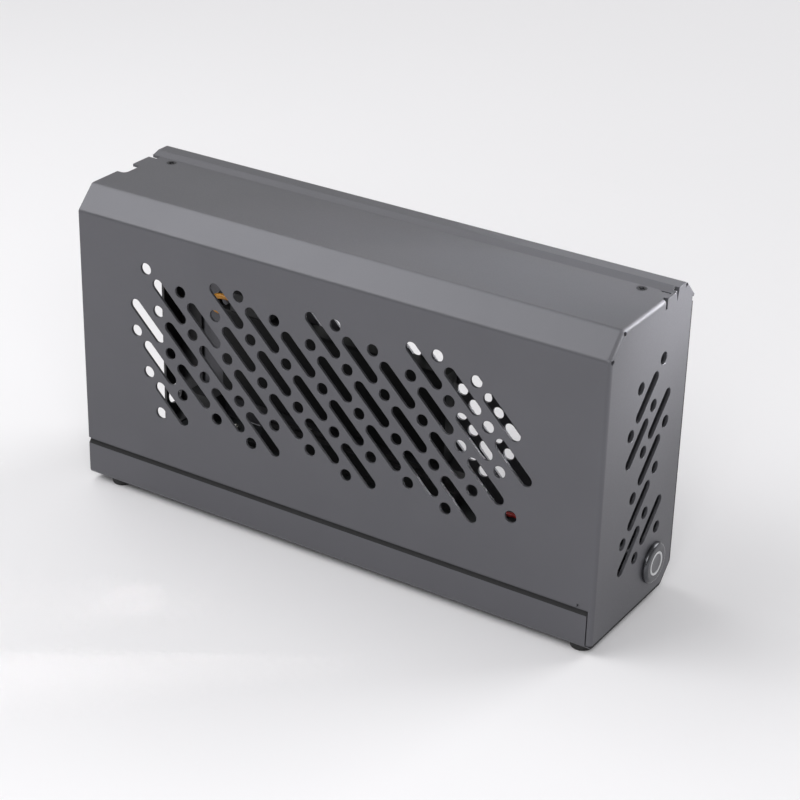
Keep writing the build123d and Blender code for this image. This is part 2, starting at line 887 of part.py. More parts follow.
# Push button: bezel and barrel in one, bored for the ring and the cap.
face_x = right_x + bezel_thickness
barrel_back_x = right_x - barrel_length
with BuildPart() as button_housing:
    with BuildSketch(button_plane(barrel_back_x)):
        round_outline(barrel_radius)
    extrude(amount=barrel_length)
    with BuildSketch(button_plane(right_x)):
        round_outline(bezel_radius)
    extrude(amount=bezel_thickness)
    chamfer(button_housing.faces().sort_by(Axis.X)[-1].edges(), bezel_chamfer)
    with BuildSketch(button_plane(face_x)):
        round_outline(ring_radius)
    extrude(amount=-ring_depth, mode=Mode.SUBTRACT)
    with BuildSketch(button_plane(face_x)):
        round_outline(ring_inner_radius)
    extrude(amount=-(cap_length + cap_sink + button_travel + travel_spare), mode=Mode.SUBTRACT)
button_housing.part.label = "button_housing"
export_step(button_housing.part, "parts/button_housing.step")

with BuildPart() as light_ring:
    with BuildSketch(button_plane(face_x)):
        round_outline(ring_radius)
        round_outline(ring_inner_radius, Mode.SUBTRACT)
    extrude(amount=-ring_depth)
light_ring.part.label = "light_ring"
export_step(light_ring.part, "parts/light_ring.step")

with BuildPart() as button_cap:
    with BuildSketch(button_plane(face_x - cap_sink)):
        round_outline(ring_inner_radius - cap_clearance)
    extrude(amount=-cap_length)
    chamfer(button_cap.faces().sort_by(Axis.X)[-1].edges(), cap_chamfer)
button_cap.part.label = "button_cap"
export_step(button_cap.part, "parts/button_cap.step")

with BuildPart() as button_nut:
    with BuildSketch(button_plane(right_x - sheet)):
        RegularPolygon(nut_flats / 2, 6, major_radius=False)
        round_outline(barrel_radius, Mode.SUBTRACT)
    extrude(amount=-nut_thickness)
button_nut.part.label = "button_nut"
export_step(button_nut.part, "parts/button_nut.step")

with BuildPart() as button_terminals:
    with BuildSketch(button_plane(barrel_back_x)):
        with GridLocations(terminal_spread, terminal_spread, 2, 2):
            Rectangle(terminal_thickness, terminal_width)
    extrude(amount=-terminal_length)
button_terminals.part.label = "button_terminals"
export_step(button_terminals.part, "parts/button_terminals.step")


def switch_wire(y):
    """One wire from the upper terminal on this side, straight over to the header and down into it."""
    start_x = barrel_back_x - terminal_length
    start_z = button_center_z + terminal_spread / 2
    header_top = board_top + header_height
    with BuildLine() as route:
        FilletPolyline(
            (start_x, y, start_z),
            (header_x, y, start_z),
            (header_x, y, header_top),
            radius=switch_wire_bend,
        )
    with BuildSketch(Plane(origin=route.line @ 0, x_dir=(0, 1, 0), z_dir=route.line % 0)) as section:
        RegularPolygon(wire_radius, wire_sides, rotation=180 / wire_sides)
    sweep(section.sketch, path=route.line)


with BuildPart() as switch_wire_red:
    switch_wire(button_y - terminal_spread / 2)
switch_wire_red.part.label = "switch_wire_red"
export_step(switch_wire_red.part, "parts/switch_wire_red.step")

with BuildPart() as switch_wire_black:
    switch_wire(button_y + terminal_spread / 2)
switch_wire_black.part.label = "switch_wire_black"
export_step(switch_wire_black.part, "parts/switch_wire_black.step")
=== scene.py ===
import json
import math

import bmesh
import bpy
import numpy as np
from mathutils import Matrix, Vector
from mathutils.geometry import delaunay_2d_cdt


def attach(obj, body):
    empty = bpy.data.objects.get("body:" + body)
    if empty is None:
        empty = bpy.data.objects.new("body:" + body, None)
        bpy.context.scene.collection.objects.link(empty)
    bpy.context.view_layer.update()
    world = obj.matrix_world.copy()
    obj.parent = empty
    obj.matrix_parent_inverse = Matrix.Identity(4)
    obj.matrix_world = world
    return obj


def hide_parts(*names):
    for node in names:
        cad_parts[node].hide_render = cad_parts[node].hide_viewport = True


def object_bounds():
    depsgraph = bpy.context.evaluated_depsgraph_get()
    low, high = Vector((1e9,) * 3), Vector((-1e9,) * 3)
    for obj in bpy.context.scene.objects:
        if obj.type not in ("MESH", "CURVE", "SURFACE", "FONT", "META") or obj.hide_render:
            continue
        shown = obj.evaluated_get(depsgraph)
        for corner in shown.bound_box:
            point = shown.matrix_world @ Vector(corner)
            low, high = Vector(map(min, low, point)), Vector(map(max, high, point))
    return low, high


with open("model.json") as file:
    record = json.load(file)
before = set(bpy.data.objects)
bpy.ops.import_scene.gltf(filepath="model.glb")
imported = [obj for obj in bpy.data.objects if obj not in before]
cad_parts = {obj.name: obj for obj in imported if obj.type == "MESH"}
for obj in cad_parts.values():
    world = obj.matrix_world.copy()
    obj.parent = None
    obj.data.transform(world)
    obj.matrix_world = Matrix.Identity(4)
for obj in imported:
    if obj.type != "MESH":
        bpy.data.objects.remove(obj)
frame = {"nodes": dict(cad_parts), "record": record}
cad_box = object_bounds()
nodes = frame["nodes"]
scene = bpy.context.scene
scene.view_settings.view_transform = "Standard"
MM = 0.001


# Chassis: one steel sheet folded into the bottom, the far panel and the flange under the cover's lip.
# Its far panel is punched with a field of slots and dots. It is powder coated dark grey all over. Its sheared
# edges at its right end are near black, and the step that runs up behind the cover's near panel is near black as
# painted shade.
CASE_GREY = (0.117, 0.117, 0.129)
# Near black: the colour of the sheared edges, and painted shade in the step under the cover's edge.
EDGE_AND_SHADE_GREY = (0.014, 0.014, 0.015)
SHEET = 1.2 * MM
SHEET_EDGE = 0.14 * MM
EDGE_STEPS = 2
RAW_EDGE_ANGLE = math.radians(55)
SHEARED_X = 118.4 * MM
STEP_Y = -30.5 * MM
STEP_Z = 17.0 * MM
STEP_FACES_UP = 0.4
VENT_WIDTH = 5.0 * MM
VENT_LONGEST = 30.0 * MM
VENT_SLACK = 0.1 * VENT_WIDTH
VENT_SIDES = 32
RIM = 0.16 * MM
RIM_TURN = np.radians([0, 30, 60, 90])
DIAGONALS = np.array([(1, 1), (1, -1)]) / math.sqrt(2)
LEVEL_SLACK = 0.001 * MM
POINT_DIGITS = 7
DOUBLES = 0.002 * MM
SLIVERS = 0.0005 * MM
INSIDE_OUTLINE = 1
FILL_SLACK = 1e-5
SMOOTH_COS = math.cos(math.radians(50))
NORMAL_STEPS = 200
PLANE_STEP = 0.02 * MM
LEAST_LENGTH = 1e-12
NOISE_LOW, NOISE_HIGH = 0.25, 0.75


def welded(node):
    """A CAD node's mesh as arrays: its points with doubles merged, and its triangles."""
    mesh = nodes[node].data
    points = np.empty(len(mesh.vertices) * 3, np.float32)
    mesh.vertices.foreach_get("co", points)
    corners = np.empty(len(mesh.loops), np.int32)
    mesh.loops.foreach_get("vertex_index", corners)
    points, place = np.unique(points.reshape(-1, 3).round(POINT_DIGITS), axis=0, return_inverse=True)
    return points.astype(float), place.reshape(-1)[corners].reshape(-1, 3)


def outline_edges(triangles):
    """Edges that only one of the triangles has."""
    edges = np.concatenate([triangles[:, [0, 1]], triangles[:, [1, 2]], triangles[:, [2, 0]]])
    _, first, count = np.unique(np.sort(edges, axis=1), axis=0, return_index=True, return_counts=True)
    return edges[first[count == 1]]


def loop_numbers(edges, size):
    """One number per closed loop of edges: each point takes the lowest number that it is joined to, until none
    changes."""
    number = np.arange(size)
    while True:
        lowest = np.minimum(number[edges[:, 0]], number[edges[:, 1]])
        joined = number.copy()
        np.minimum.at(joined, edges[:, 0], lowest)
        np.minimum.at(joined, edges[:, 1], lowest)
        if (joined == number).all():
            return number
        number = joined


def vents_among(flat, edges):
    """The vents among a panel's outlines. Measured along the two diagonals, a vent is one vent width across.
    Gives each vent's middle, half of its span from end to end, and which edges belong to vents."""
    _, loop = np.unique(loop_numbers(edges, len(flat))[edges[:, 0]], return_inverse=True)
    across = flat[edges[:, 0]] @ DIAGONALS
    low = np.full((loop.max() + 1, 2), np.inf)
    high = -low
    np.minimum.at(low, loop, across)
    np.maximum.at(high, loop, across)
    span = high - low
    width, length = span.min(axis=1), span.max(axis=1)
    is_vent = (np.abs(width - VENT_WIDTH) < VENT_SLACK) & (length < VENT_LONGEST)
    middle = (low + high) / 2 @ DIAGONALS
    half = np.maximum(span - width[:, None], 0) / 2 @ DIAGONALS
    return middle[is_vent], half[is_vent], is_vent[loop]


def vent_ring(middle, half, radius):
    """Points round each vent: its middle, plus half of its span on one side and minus it on the other, plus a
    radius that turns once, starting square to the slot."""
    turn = (np.arange(VENT_SIDES) + 0.5) * 2 * math.pi / VENT_SIDES - math.pi / 2
    side = np.where(np.cos(turn) > 0, 1.0, -1.0)
    angle = np.arctan2(half[:, 1], half[:, 0])[:, None] + turn
    circle = np.stack([np.cos(angle), np.sin(angle)], axis=-1) * radius
    return middle[:, None] + side[None, :, None] * half[:, None] + circle


def filled(flat, edges, rings):
    """Triangles that fill a flat panel between its outline edges and its vents' rings. A triangle with its
    three corners on one ring lies in that vent, and one whose middle has an even number of outline edges to its
    right lies off the panel, so both are left out."""
    around = np.arange(rings.shape[0] * rings.shape[1]).reshape(rings.shape[:2])
    used, edges = np.unique(edges, return_inverse=True)
    edges = edges.reshape(-1, 2)
    points = np.concatenate([flat[used], rings.reshape(-1, 2)]) / MM
    ring_edges = np.stack([around, np.roll(around, -1, axis=1)], axis=-1).reshape(-1, 2) + len(used)
    fixed = np.concatenate([edges, ring_edges]).tolist()
    made = delaunay_2d_cdt([Vector(p) for p in points.tolist()], fixed, [], INSIDE_OUTLINE, FILL_SLACK)
    points = np.array([p[:] for p in made[0]])
    faces = np.array(made[2])
    ring = np.where(faces < len(used), -1 - faces, (faces - len(used)) // VENT_SIDES)
    in_vent = (ring == ring[:, :1]).all(axis=1)
    middle = points[faces].mean(axis=1)[:, None]
    start, end = points[edges[:, 0]], points[edges[:, 1]]
    spans = (start[:, 1] > middle[..., 1]) != (end[:, 1] > middle[..., 1])
    run, rise = (end - start).T
    turn = run * (middle[..., 1] - start[:, 1]) - rise * (middle[..., 0] - start[:, 0])
    to_right = spans & ((turn > 0) == (rise > 0))
    on_panel = to_right.sum(axis=1) % 2 == 1
    return points * MM, faces[on_panel & ~in_vent]


def with_round_vents(node, panels):
    """A folded sheet's mesh with truly round vents: each vented panel's flats and its vents' walls are taken
    out of the CAD mesh, the flats are filled again round the round rims, and each vent gets a wall whose two
    rims are quarter rounds. A panel is given by its directions across, up and out."""
    points, triangles = welded(node)
    keep = np.ones(len(triangles), bool)
    parts = []
    for across, up, out in (np.array(panel, float) for panel in panels):
        depth = points @ out
        flat = np.stack([points @ across, points @ up], axis=1)
        outer = depth.max()
        at_vent = np.zeros(len(points), bool)
        for level, turned_in in ((outer, False), (outer - SHEET, True)):
            on_face = (np.abs(depth - level) < LEVEL_SLACK)[triangles].all(axis=1)
            edges = outline_edges(triangles[on_face])
            middle, half, vent_edges = vents_among(flat, edges)
            at_vent[edges[vent_edges]] = True
            rings = vent_ring(middle, half, VENT_WIDTH / 2 + RIM)
            new_flat, faces = filled(flat, edges[~vent_edges], rings)
            place = new_flat[:, :1] * across + new_flat[:, 1:] * up + level * out
            parts.append((place, faces[:, ::-1] if turned_in else faces))
            keep &= ~on_face
        keep &= ~at_vent[triangles].all(axis=1)
        widths = VENT_WIDTH / 2 + RIM * (1 - np.sin(RIM_TURN))
        drops = RIM * (1 - np.cos(RIM_TURN))
        widths = np.concatenate([widths, widths[::-1]])
        drops = np.concatenate([drops, SHEET - drops[::-1]])
        rings = np.stack([vent_ring(middle, half, width) for width in widths], axis=1)
        wall = rings[..., :1] * across + rings[..., 1:] * up + (outer - drops)[None, :, None, None] * out
        number = np.arange(wall[..., 0].size).reshape(wall.shape[:3])
        beside = np.roll(number, -1, axis=2)
        quads = np.stack([number[:, :-1], beside[:, :-1], beside[:, 1:], number[:, 1:]], axis=-1)
        parts.append((wall.reshape(-1, 3), quads.reshape(-1, 4)))
    parts.append((points, triangles[keep]))
    return parts


def face_vectors(mesh, name):
    """The middles or the normals of a mesh's faces, one row for each."""
    values = np.empty(len(mesh.polygons) * 3)
    mesh.polygons.foreach_get(name, values)
    return values.reshape(-1, 3)


def shaded_by_flats(mesh):
    """Corner normals for a mesh of flats and bends: the mean of the normals of the faces that meet there within
    the smoothing angle, each weighted by the square of the whole area that lies in its plane, so that wide flats
    stay flat."""
    face_count = len(mesh.polygons)
    normal = face_vectors(mesh, "normal")
    offset = (normal * face_vectors(mesh, "center")).sum(axis=1)
    area = np.empty(face_count)
    total = np.empty(face_count, np.int32)
    vertex = np.empty(len(mesh.loops), np.int32)
    mesh.polygons.foreach_get("area", area)
    mesh.polygons.foreach_get("loop_total", total)
    mesh.loops.foreach_get("vertex_index", vertex)
    planes = np.concatenate([normal * NORMAL_STEPS, offset[:, None] / PLANE_STEP], axis=1)
    _, plane = np.unique(planes.round().astype(np.int64), axis=0, return_inverse=True)
    plane = plane.reshape(-1)
    weight = (np.bincount(plane, area)[plane] / MM**2) ** 2
    face = np.repeat(np.arange(face_count), total)
    order = np.argsort(vertex, kind="stable")
    first = np.searchsorted(vertex[order], vertex[order], "left")
    count = np.searchsorted(vertex[order], vertex[order], "right") - first
    start = np.cumsum(count) - count
    one = np.repeat(np.arange(len(order)), count)
    two = np.repeat(first - start, count) + np.arange(len(one))
    face_one = face[order][one]
    face_two = face[order][two]
    smooth = (normal[face_one] * normal[face_two]).sum(axis=1) > SMOOTH_COS
    summed = np.add.reduceat(normal[face_two] * (weight[face_two] * smooth)[:, None], start, axis=0)
    summed /= np.maximum(np.linalg.norm(summed, axis=1, keepdims=True), LEAST_LENGTH)
    corner = np.empty_like(summed)
    corner[order] = summed
    mesh.shade_smooth()
    mesh.normals_split_custom_set(corner.tolist())


def piece(name, parts, edge=0.0):
    """A mesh piece from (points, faces) pairs, with doubles merged, its raw edges rounded by the given width and
    its flats kept flat in the shading. Where a rounded edge overshoots at a sharp corner, it is drawn back to
    the box of the points."""
    every = np.concatenate([points for points, _ in parts])
    start = np.cumsum([0] + [len(points) for points, _ in parts])
    faces = []
    for (_, part), first in zip(parts, start):
        faces += (np.asarray(part) + first).tolist()
    mesh = bpy.data.meshes.new(name)
    mesh.from_pydata(every.tolist(), [], faces)
    work = bmesh.new()
    work.from_mesh(mesh)
    bmesh.ops.remove_doubles(work, verts=work.verts, dist=DOUBLES)
    bmesh.ops.dissolve_degenerate(work, edges=work.edges, dist=SLIVERS)
    work.to_mesh(mesh)
    work.free()
    thing = bpy.data.objects.new(name, mesh)
    scene.collection.objects.link(thing)
    if edge:
        bevel = thing.modifiers.new("edge", "BEVEL")
        bevel.width = edge
        bevel.segments = EDGE_STEPS
        bevel.limit_method = "ANGLE"
        bevel.angle_limit = RAW_EDGE_ANGLE
        bevel.use_clamp_overlap = False
        bpy.context.view_layer.update()
        finished = thing.evaluated_get(bpy.context.evaluated_depsgraph_get())
        rounded = bpy.data.meshes.new_from_object(finished)
        thing.modifiers.clear()
        thing.data = rounded
        rounded.name = name
        place = np.empty(len(rounded.vertices) * 3, np.float32)
        rounded.vertices.foreach_get("co", place)
        place = np.clip(place.reshape(-1, 3), every.min(axis=0), every.max(axis=0))
        rounded.vertices.foreach_set("co", place.ravel())
    shaded_by_flats(thing.data)
    return thing


def finish(name, colour, roughness, metallic, mottle, grain, spread=0.06, stretch=(1, 1, 1), **sockets):
    """A surface finish. A broad noise moves the colour either side of its value, by the mottle's share over the
    mottle's size. A fine noise of the grain's size moves the roughness by the spread and raises the grain's
    height. Sizes are in mm; sockets sets the shader's other values."""
    material = bpy.data.materials.new(name)
    material.use_nodes = True
    tree = material.node_tree
    shader = tree.nodes["Principled BSDF"]
    shader.inputs["Metallic"].default_value = metallic
    for socket, value in sockets.items():
        shader.inputs[socket.replace("_", " ")].default_value = value
    place = tree.nodes.new("ShaderNodeTexCoord").outputs["Object"]
    scaled = tree.nodes.new("ShaderNodeMapping")
    scaled.inputs["Scale"].default_value = [1 / (MM * s) for s in stretch]
    tree.links.new(place, scaled.inputs["Vector"])

    def noise(size, detail):
        texture = tree.nodes.new("ShaderNodeTexNoise")
        texture.inputs["Scale"].default_value = 1 / size
        texture.inputs["Detail"].default_value = detail
        tree.links.new(scaled.outputs["Vector"], texture.inputs["Vector"])
        return texture.outputs["Fac"]

    def ranged(source, low, high):
        node = tree.nodes.new("ShaderNodeMapRange")
        node.inputs["From Min"].default_value = NOISE_LOW
        node.inputs["From Max"].default_value = NOISE_HIGH
        node.inputs["To Min"].default_value = low
        node.inputs["To Max"].default_value = high
        tree.links.new(source, node.inputs["Value"])
        return node.outputs["Result"]

    broad = noise(mottle[0], detail=4)
    tint = tree.nodes.new("ShaderNodeMix")
    tint.data_type = "RGBA"
    tint.inputs["A"].default_value = (*[c * (1 - mottle[1]) for c in colour], 1)
    tint.inputs["B"].default_value = (*[c * (1 + mottle[1]) for c in colour], 1)
    tree.links.new(ranged(broad, 0, 1), tint.inputs["Factor"])
    tree.links.new(tint.outputs["Result"], shader.inputs["Base Color"])
    fine = noise(grain[0], detail=3)
    tree.links.new(ranged(fine, roughness - spread, roughness + spread), shader.inputs["Roughness"])
    bump = tree.nodes.new("ShaderNodeBump")
    bump.inputs["Strength"].default_value = 1.0
    bump.inputs["Distance"].default_value = grain[1] * MM
    tree.links.new(fine, bump.inputs["Height"])
    tree.links.new(bump.outputs["Normal"], shader.inputs["Normal"])
    return material


def place_piece(thing, material, slot, body, *replaced):
    """Puts a finished piece on a body with its material, in place of the CAD nodes that it stands for."""
    thing.data.materials.clear()
    thing.data.materials.append(material)
    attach(thing, body)
    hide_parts(*replaced)


case_paint = finish("case_paint", CASE_GREY, 0.42, 0.5, (25.0, 0.03), (0.55, 0.005), 0.04)
dark_edge_and_painted_shade = finish("dark_edge_and_painted_shade", EDGE_AND_SHADE_GREY, 0.8, 0.0, (3.0, 0.1), (0.4, 0.01))
far_panel = ((-1, 0, 0), (0, 0, 1), (0, 1, 0))
chassis = piece("chassis_sheet", with_round_vents("chassis", [far_panel]), SHEET_EDGE)
place_piece(chassis, case_paint, "case_paint", "enclosure", "chassis")
chassis.data.materials.append(dark_edge_and_painted_shade)
face_x, face_y, face_z = face_vectors(chassis.data, "center").T
faces_up = face_vectors(chassis.data, "normal")[:, 2] > STEP_FACES_UP
sheared = face_x > SHEARED_X
# Painted shade: the upward faces of the step under the cover's edge take the near-black material, as do the
# sheared edges.
step_painted_shade = (face_y < STEP_Y) & (face_z > STEP_Z) & faces_up
chassis.data.polygons.foreach_set("material_index", (sheared | step_painted_shade).astype(np.int32))


# Cover: one steel sheet with the vented near panel, the top with its raised lip, and the vented right end
# folded down from it. It slides over the chassis and has the same powder coat.
near_panel = ((1, 0, 0), (0, 0, 1), (0, -1, 0))
end_panel = ((0, 1, 0), (0, 0, 1), (1, 0, 0))
cover = piece("cover_sheet", with_round_vents("cover", [near_panel, end_panel]), SHEET_EDGE)
place_piece(cover, case_paint, "case_paint", "enclosure", "cover")


# Button housing: bezel and barrel turned from one bar and plated dark, bored in steps for the ring and the cap.
# It sits in the right end's round hole and is held from inside by its nut.
ALONG_X = (1, 0, 0)
BUTTON = (118.975, 15.0, 18.3)
ROUND_SIDES = 96
BARREL_RADIUS = 7.4
BARREL_LENGTH = 22.0
BARREL_ROUND = 0.3
BEZEL_RADIUS = 8.4
BEZEL_FACE = 2.05
BEZEL_ROUND = 0.15
BEZEL_LAND = 0.2
DOME_FOOT = 0.75
DOME_RUN = 1.7
RING_BORE = 5.0
RING_BORE_DEPTH = 4.0
CAP_BORE = 3.95
CAP_BORE_DEPTH = 13.65


def turned(profile, foot, axis, sides=ROUND_SIDES):
    """Points and faces of a turned piece: each profile point, given as its distance along the axis from the
    foot and its radius in mm, goes once round the axis. The profile runs forward on the outside, and a radius
    of 0 closes an end."""
    axis = np.array(axis, float)
    across = np.roll(axis, 1)
    turn = np.arange(sides)[:, None] * 2 * math.pi / sides
    way = np.cos(turn) * across + np.sin(turn) * np.cross(axis, across)
    along, radius = np.array(profile, float).T[:, :, None, None]
    points = (np.array(foot, float) + along * axis + radius * way) * MM
    number = np.arange(points[..., 0].size).reshape(points.shape[:2])
    beside = np.roll(number, -1, axis=1)
    faces = np.stack([number[:-1], beside[:-1], beside[1:], number[1:]], axis=-1)
    return points.reshape(-1, 3), faces.reshape(-1, 4)


def bend(along, radius, rise, reach, start, stop, count):
    """Profile points on a bend round a middle: the distance along grows with the sine of the angle and the
    radius with its cosine, from the start angle to the stop angle in degrees."""
    angle = np.radians(np.linspace(start, stop, count))
    return [(along + rise * math.sin(a), radius + reach * math.cos(a)) for a in angle]


bezel_dark = finish("bezel_dark", (0.10, 0.102, 0.11), 0.24, 0.9, (3.0, 0.1), (0.3, 0.002), 0.05)
housing_profile = [
    (-BARREL_LENGTH, 0.0),
    *bend(BARREL_ROUND - BARREL_LENGTH, BARREL_RADIUS - BARREL_ROUND, BARREL_ROUND, BARREL_ROUND, -90, 0, 4),
    (0.0, BARREL_RADIUS),
    *bend(BEZEL_ROUND, BEZEL_RADIUS - BEZEL_ROUND, BEZEL_ROUND, BEZEL_ROUND, -90, 0, 4),
    *bend(DOME_FOOT, BEZEL_RADIUS - DOME_RUN, BEZEL_FACE - DOME_FOOT, DOME_RUN, 0, 90, 12),
    (BEZEL_FACE, RING_BORE + BEZEL_LAND),
    *bend(BEZEL_FACE - BEZEL_ROUND, RING_BORE + BEZEL_ROUND, BEZEL_ROUND, -BEZEL_ROUND, 90, 0, 4),
    (BEZEL_FACE - RING_BORE_DEPTH, RING_BORE),
    (BEZEL_FACE - RING_BORE_DEPTH, CAP_BORE),
    (BEZEL_FACE - CAP_BORE_DEPTH, CAP_BORE),
    (BEZEL_FACE - CAP_BORE_DEPTH, 0.0),
]
housing = piece("turned_housing", [turned(housing_profile, BUTTON, ALONG_X)])
place_piece(housing, bezel_dark, "bezel_dark", "enclosure", "button_housing")


# Light ring: a milky plastic ring that carries the button's light, moulded with rounded edges.
# It is pressed into the bezel's bore round the cap, flush with the bezel's face.
RING_DEPTH = 3.9
RING_OUTER = 4.94
RING_INNER = 3.98
RING_ROUND = 0.15
ring_foot = BEZEL_FACE - RING_DEPTH
ring_white = finish("ring_white", (0.60, 0.61, 0.62), 0.3, 0.0, (1.0, 0.04), (0.2, 0.002), 0.05)
ring_profile = [
    (ring_foot, RING_INNER),
    (ring_foot, RING_OUTER),
    *bend(BEZEL_FACE - RING_ROUND, RING_OUTER - RING_ROUND, RING_ROUND, RING_ROUND, 0, 90, 4),
    *bend(BEZEL_FACE - RING_ROUND, RING_INNER + RING_ROUND, RING_ROUND, -RING_ROUND, 90, 0, 4),
    (ring_foot, RING_INNER),
]
ring = piece("turned_ring", [turned(ring_profile, BUTTON, ALONG_X)])
place_piece(ring, ring_white, "ring_white", "enclosure", "light_ring")


# Button cap: a solid metal plunger, turned with a rounded front edge and a shallow dish for the finger.
# It slides in the ring when it is pressed.
CAP_SINK = 0.15
CAP_RADIUS = 3.9
CAP_LENGTH = 11.0
CAP_FOOT_ROUND = 0.2
CAP_EDGE_ROUND = 0.3
CAP_DISH = 0.12
CAP_DISH_RADIUS = 2.4
cap_face = BEZEL_FACE - CAP_SINK
cap_foot = cap_face - CAP_LENGTH
cap_metal = finish("cap_metal", (0.15, 0.151, 0.16), 0.34, 0.85, (2.0, 0.08), (0.2, 0.003))
cap_profile = [
    (cap_foot, 0.0),
    *bend(cap_foot + CAP_FOOT_ROUND, CAP_RADIUS - CAP_FOOT_ROUND, CAP_FOOT_ROUND, CAP_FOOT_ROUND, -90, 0, 4),
    *bend(cap_face - CAP_EDGE_ROUND, CAP_RADIUS - CAP_EDGE_ROUND, CAP_EDGE_ROUND, CAP_EDGE_ROUND, 0, 90, 6),
    (cap_face - CAP_DISH / 2, CAP_DISH_RADIUS),
    (cap_face - CAP_DISH, 0.0),
]
cap = piece("turned_cap", [turned(cap_profile, BUTTON, ALONG_X)])
place_piece(cap, cap_metal, "cap_metal", "button", "button_cap")


# Feet: four tapered discs moulded in black rubber, with rounded treads that are a little hollow in the middle.
# They are bonded under the flat of the bottom.
UPWARD = (0, 0, 1)
FOOT_PLACES = [(x, y, 0) for x in (-108.425, 112.175) for y in (-26.2, 18.7)]
FOOT_HEIGHT = 3.0
FOOT_TOP_RADIUS = 4.9
TREAD_RADIUS = 3.86
TREAD_ROUND = 0.6
TREAD_HOLLOW = 0.12
TREAD_HOLLOW_RADIUS = 3.0
SMALL_ROUND_SIDES = 64
foot_rubber = finish("foot_rubber", (0.018, 0.018, 0.019), 0.78, 0.0, (4.0, 0.15), (0.35, 0.02))
foot_profile = [
    (TREAD_HOLLOW, 0.0),
    (TREAD_HOLLOW, TREAD_HOLLOW_RADIUS),
    *bend(TREAD_ROUND, TREAD_RADIUS, TREAD_ROUND, TREAD_ROUND, -90, -11, 6),
    (FOOT_HEIGHT, FOOT_TOP_RADIUS),
    (FOOT_HEIGHT, 0.0),
]
feet = piece("turned_feet", [turned(foot_profile, place, UPWARD, SMALL_ROUND_SIDES) for place in FOOT_PLACES])
place_piece(feet, foot_rubber, "foot_rubber", "enclosure", "feet")


# Screws: small steel machine screws with a cross recess. Two blackened flat heads hold the cover at the foot of
# its lip, and four bright domed heads hold the board on its standoffs.
BOARD_TOP = 12.0
COVER_SCREWS = [(x, 12.4, 131.0) for x in (-109.025, 106.975)]
BOARD_SCREWS = [(x, y, BOARD_TOP) for x in (-85.025, 40.975) for y in (-18.5, 20.5)]
COVER_SCREW_LENGTH = 5.2
BOARD_SCREW_LENGTH = 5.0
SHANK_RADIUS = 1.25
SHANK_TIP = 0.25
FLAT_HEAD_DEPTH = 1.2
DOME_CROWN = 0.55
HEAD_RINGS = 33
CROSS_ARM = 0.2
CROSS_REACH = 0.66
CROSS_SIDE = 0.08
CROSS_END = 0.2
CROSS_DEPTH = 0.5


def shank(length, head_foot):
    """Profile points of a screw's shank: from the middle of its tip out, up the tip's cone and along to the foot
    of the head."""
    return [
        (-length, 0.0),
        (-length, SHANK_RADIUS - SHANK_TIP),
        (SHANK_TIP - length, SHANK_RADIUS),
        (head_foot, SHANK_RADIUS),
    ]


def cross_head(top, radius, crown):
    """A screw head's top as rings of points: domed by the crown, less a cross of two sloping-walled grooves. The
    cross's measures are shares of the head's radius."""
    across = np.linspace(0, 1, HEAD_RINGS)[:, None]
    turn = np.arange(ROUND_SIDES) * 2 * math.pi / ROUND_SIDES
    x, y = across * np.cos(turn), across * np.sin(turn)
    off_arm = np.minimum(np.abs(x), np.abs(y))
    reach = np.maximum(np.abs(x), np.abs(y))
    in_arm = np.clip((CROSS_ARM - off_arm) / CROSS_SIDE, 0, 1)
    sunk = in_arm * np.clip((CROSS_REACH - reach) / CROSS_END, 0, 1)
    height = crown * (1 - across**2) - CROSS_DEPTH * radius * sunk
    points = np.stack([top[0] + radius * x, top[1] + radius * y, top[2] + height], axis=-1) * MM
    number = np.arange(x.size).reshape(x.shape)
    beside = np.roll(number, -1, axis=1)
    faces = np.stack([number[:-1], number[1:], beside[1:], beside[:-1]], axis=-1)
    return points.reshape(-1, 3), faces.reshape(-1, 4)


def screws(name, places, profile, crown):
    """Screws turned from a profile, each with a cross head that closes it where the profile ends."""
    rise, radius = profile[-1]
    bodies = [turned(profile, place, UPWARD) for place in places]
    heads = [cross_head((x, y, z + rise), radius, crown) for x, y, z in places]
    return piece(name, bodies + heads)


bright_steel = finish("bright_steel", (0.62, 0.61, 0.58), 0.28, 1.0, (2.0, 0.08), (0.3, 0.004), 0.07)
screw_black = finish("screw_black", (0.03, 0.03, 0.034), 0.38, 0.7, (1.0, 0.2), (0.3, 0.006), 0.08)
flat_head = [(-FLAT_HEAD_DEPTH, 1.3), (-0.08, 2.02), (0.0, 2.06)]
dome_head = [(0.0, 2.5), (0.9, 2.55), (1.2, 2.4)]
cover_screw_profile = shank(COVER_SCREW_LENGTH, -FLAT_HEAD_DEPTH) + flat_head
cover_screws = screws("cross_cover_screws", COVER_SCREWS, cover_screw_profile, 0.0)
place_piece(cover_screws, screw_black, "screw_black", "enclosure", "cover_screws")
board_screw_profile = shank(BOARD_SCREW_LENGTH, 0.0) + dome_head
board_screws = screws("cross_board_screws", BOARD_SCREWS, board_screw_profile, DOME_CROWN)
place_piece(board_screws, bright_steel, "bright_steel", "enclosure", "board_screws")


